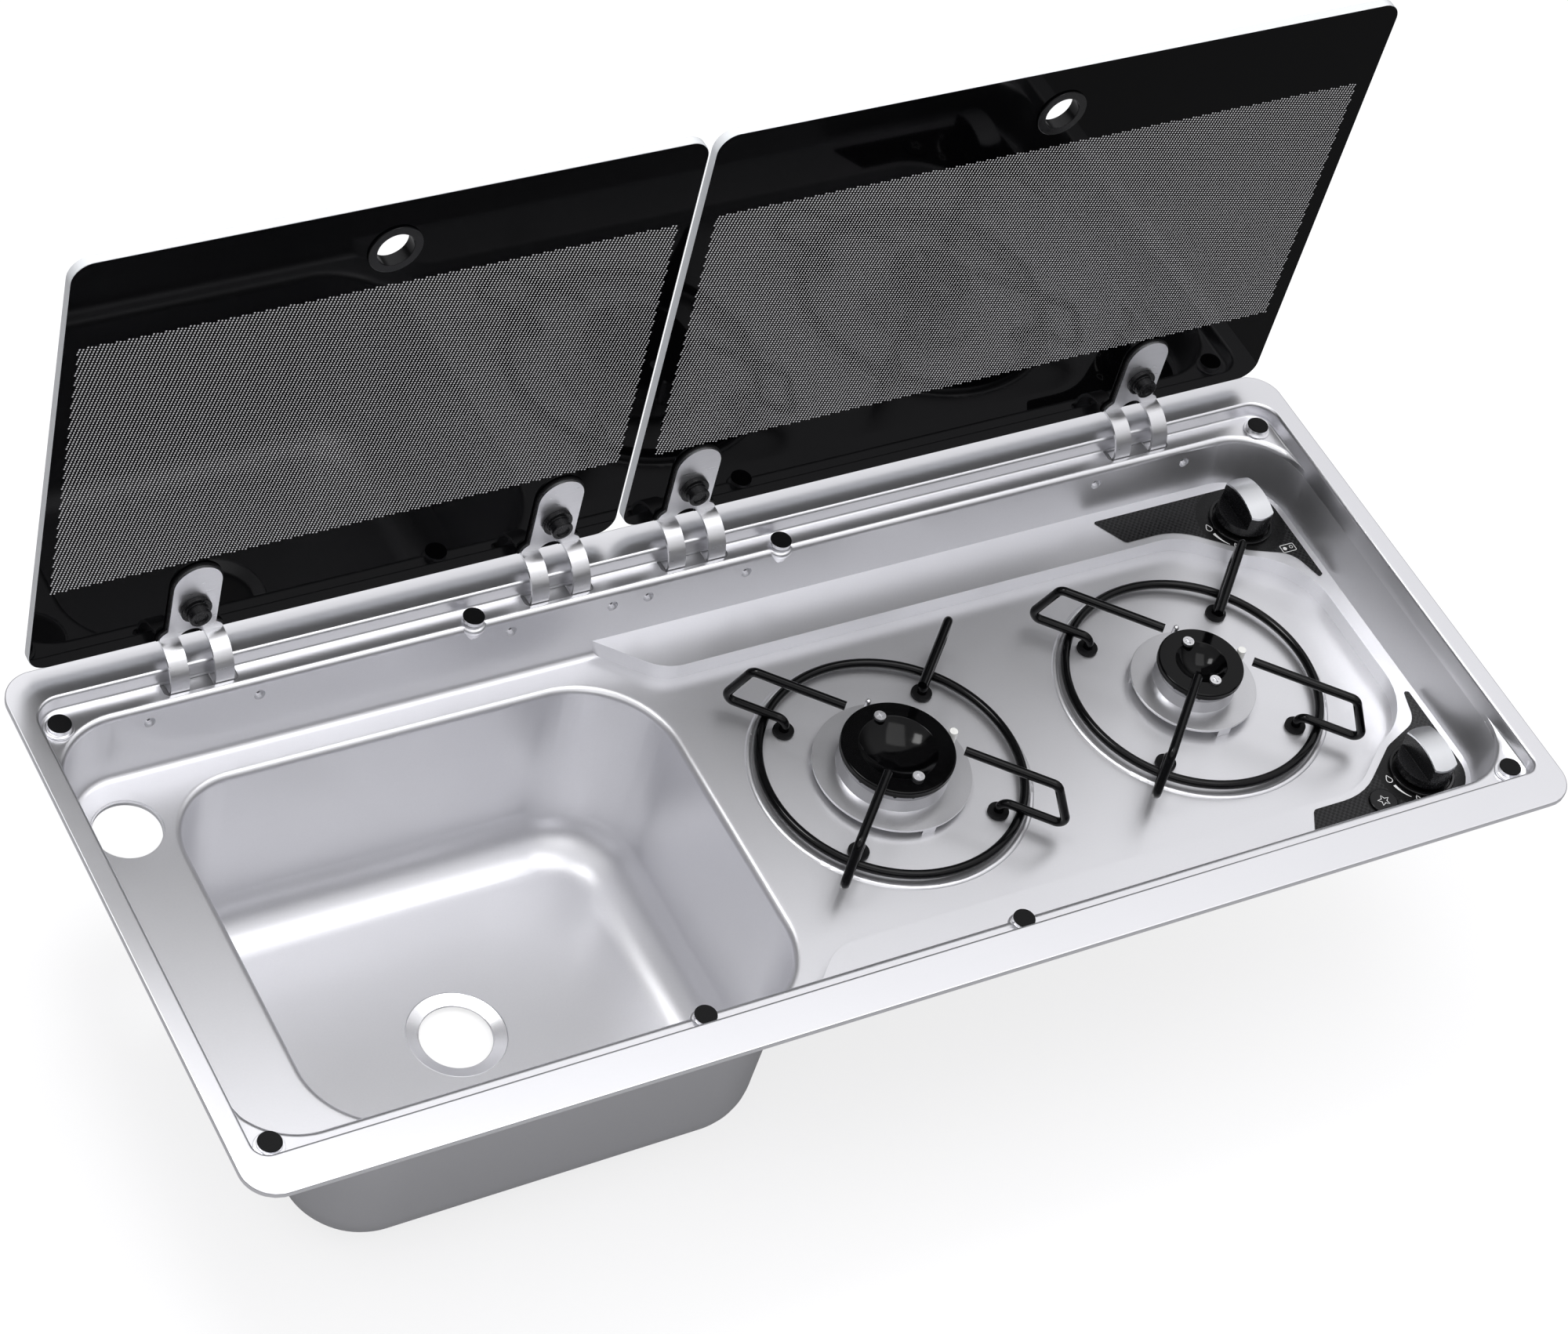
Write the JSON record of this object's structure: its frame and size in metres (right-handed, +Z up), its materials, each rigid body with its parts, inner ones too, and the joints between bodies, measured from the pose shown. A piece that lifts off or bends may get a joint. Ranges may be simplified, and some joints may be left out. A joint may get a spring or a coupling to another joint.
{
  "type": "hob and sink combination",
  "caption": "Flush stainless hob and sink unit for a small kitchen, with gas burners, wire pan supports, knobs in a stepped recess and folding glass lids.",
  "frame": {"origin": "centre of the rim's outline in plan, at the level of the rim's flat top face", "axes": "+X along the length from the sink to the hob, +Y towards the hinged back edge, +Z up"},
  "size_m": [0.76, 0.3255, 0.4555],
  "materials": {
    "stainless": "satin",
    "bright_steel": "satin",
    "dark_glass": "polished",
    "black_rubber": "matt",
    "black_enamel": "gloss",
    "cast_aluminium": "satin",
    "white_ceramic": "gloss",
    "silver_strap": "brushed",
    "black_plastic": "satin",
    "black_panel": "satin",
    "pale_plastic": "matt",
    "brass": "satin"
  },
  "bodies": {
    "tray": {"rim_frame": "stainless", "rim_seal": "black_rubber", "sink_deck": "stainless", "sink_bowl": "stainless", "waste_seat": "stainless", "tap_plate": "stainless", "hob_deck": "stainless", "bumper_pads": "black_rubber", "hinge_housings": "bright_steel", "hinge_pins": "bright_steel", "left_pan_support": "black_enamel", "right_pan_support": "black_enamel", "left_support_grommets": "black_rubber", "right_support_grommets": "black_rubber", "left_burner_base": "cast_aluminium", "right_burner_base": "cast_aluminium", "left_burner_head": "cast_aluminium", "right_burner_head": "cast_aluminium", "left_burner_cap": "black_enamel", "right_burner_cap": "black_enamel", "left_cap_screws": "bright_steel", "right_cap_screws": "bright_steel", "left_igniter": "white_ceramic", "right_igniter": "white_ceramic", "left_thermocouple": "bright_steel", "right_thermocouple": "bright_steel", "back_control_panel": "black_panel", "front_control_panel": "black_panel", "back_knob_bezel": "black_plastic", "front_knob_bezel": "black_plastic", "back_gas_valve": "brass", "front_gas_valve": "brass", "gas_rail": "brass", "left_gas_pipe": "brass", "right_gas_pipe": "brass", "piezo_igniter": "pale_plastic"},
    "left_lid": {"left_glass": "dark_glass", "left_finger_ring": "black_plastic", "left_hinge_brackets": "bright_steel", "left_hinge_gaskets": "black_rubber", "left_hinge_bolts": "black_plastic"},
    "right_lid": {"right_glass": "dark_glass", "right_finger_ring": "black_plastic", "right_hinge_brackets": "bright_steel", "right_hinge_gaskets": "black_rubber", "right_hinge_bolts": "black_plastic"},
    "back_pusher": {"back_spring_cup": "bright_steel"},
    "front_pusher": {"front_spring_cup": "bright_steel"},
    "back_control": {"back_knob": "black_plastic", "back_knob_strap": "silver_strap", "back_valve_stem": "brass"},
    "front_control": {"front_knob": "black_plastic", "front_knob_strap": "silver_strap", "front_valve_stem": "brass"},
    "igniter_button": {"ignition_button": "black_plastic"}
  },
  "joints": [
    {"name": "left_lid_hinge", "type": "hinge", "parent": "tray", "child": "left_lid", "pos_m": [-0.181, 0.152, -0.008], "axis": [1, 0, 0], "range_deg": [0, 90]},
    {"name": "right_lid_hinge", "type": "hinge", "parent": "tray", "child": "right_lid", "pos_m": [0.14, 0.152, -0.008], "axis": [1, 0, 0], "range_deg": [0, 90]},
    {"name": "back_knob_push", "type": "slide", "parent": "tray", "child": "back_pusher", "axis": [0, 0, -1], "range_m": [0, 0.0035], "stiffness_N_per_m": 600, "springref_m": -0.004},
    {"name": "back_knob_turn", "type": "hinge", "parent": "back_pusher", "child": "back_control", "pos_m": [0.334, 0.0936, -0.04], "axis": [0, 0, 1], "range_deg": [0, 145]},
    {"name": "front_knob_push", "type": "slide", "parent": "tray", "child": "front_pusher", "axis": [0, 0, -1], "range_m": [0, 0.0035], "stiffness_N_per_m": 600, "springref_m": -0.004},
    {"name": "front_knob_turn", "type": "hinge", "parent": "front_pusher", "child": "front_control", "pos_m": [0.334, -0.0969, -0.04], "axis": [0, 0, 1], "range_deg": [0, 145]},
    {"name": "ignition_push", "type": "slide", "parent": "tray", "child": "igniter_button", "axis": [0, 0, -1], "range_m": [0, 0.002], "stiffness_N_per_m": 800, "springref_m": -0.003}
  ]
}
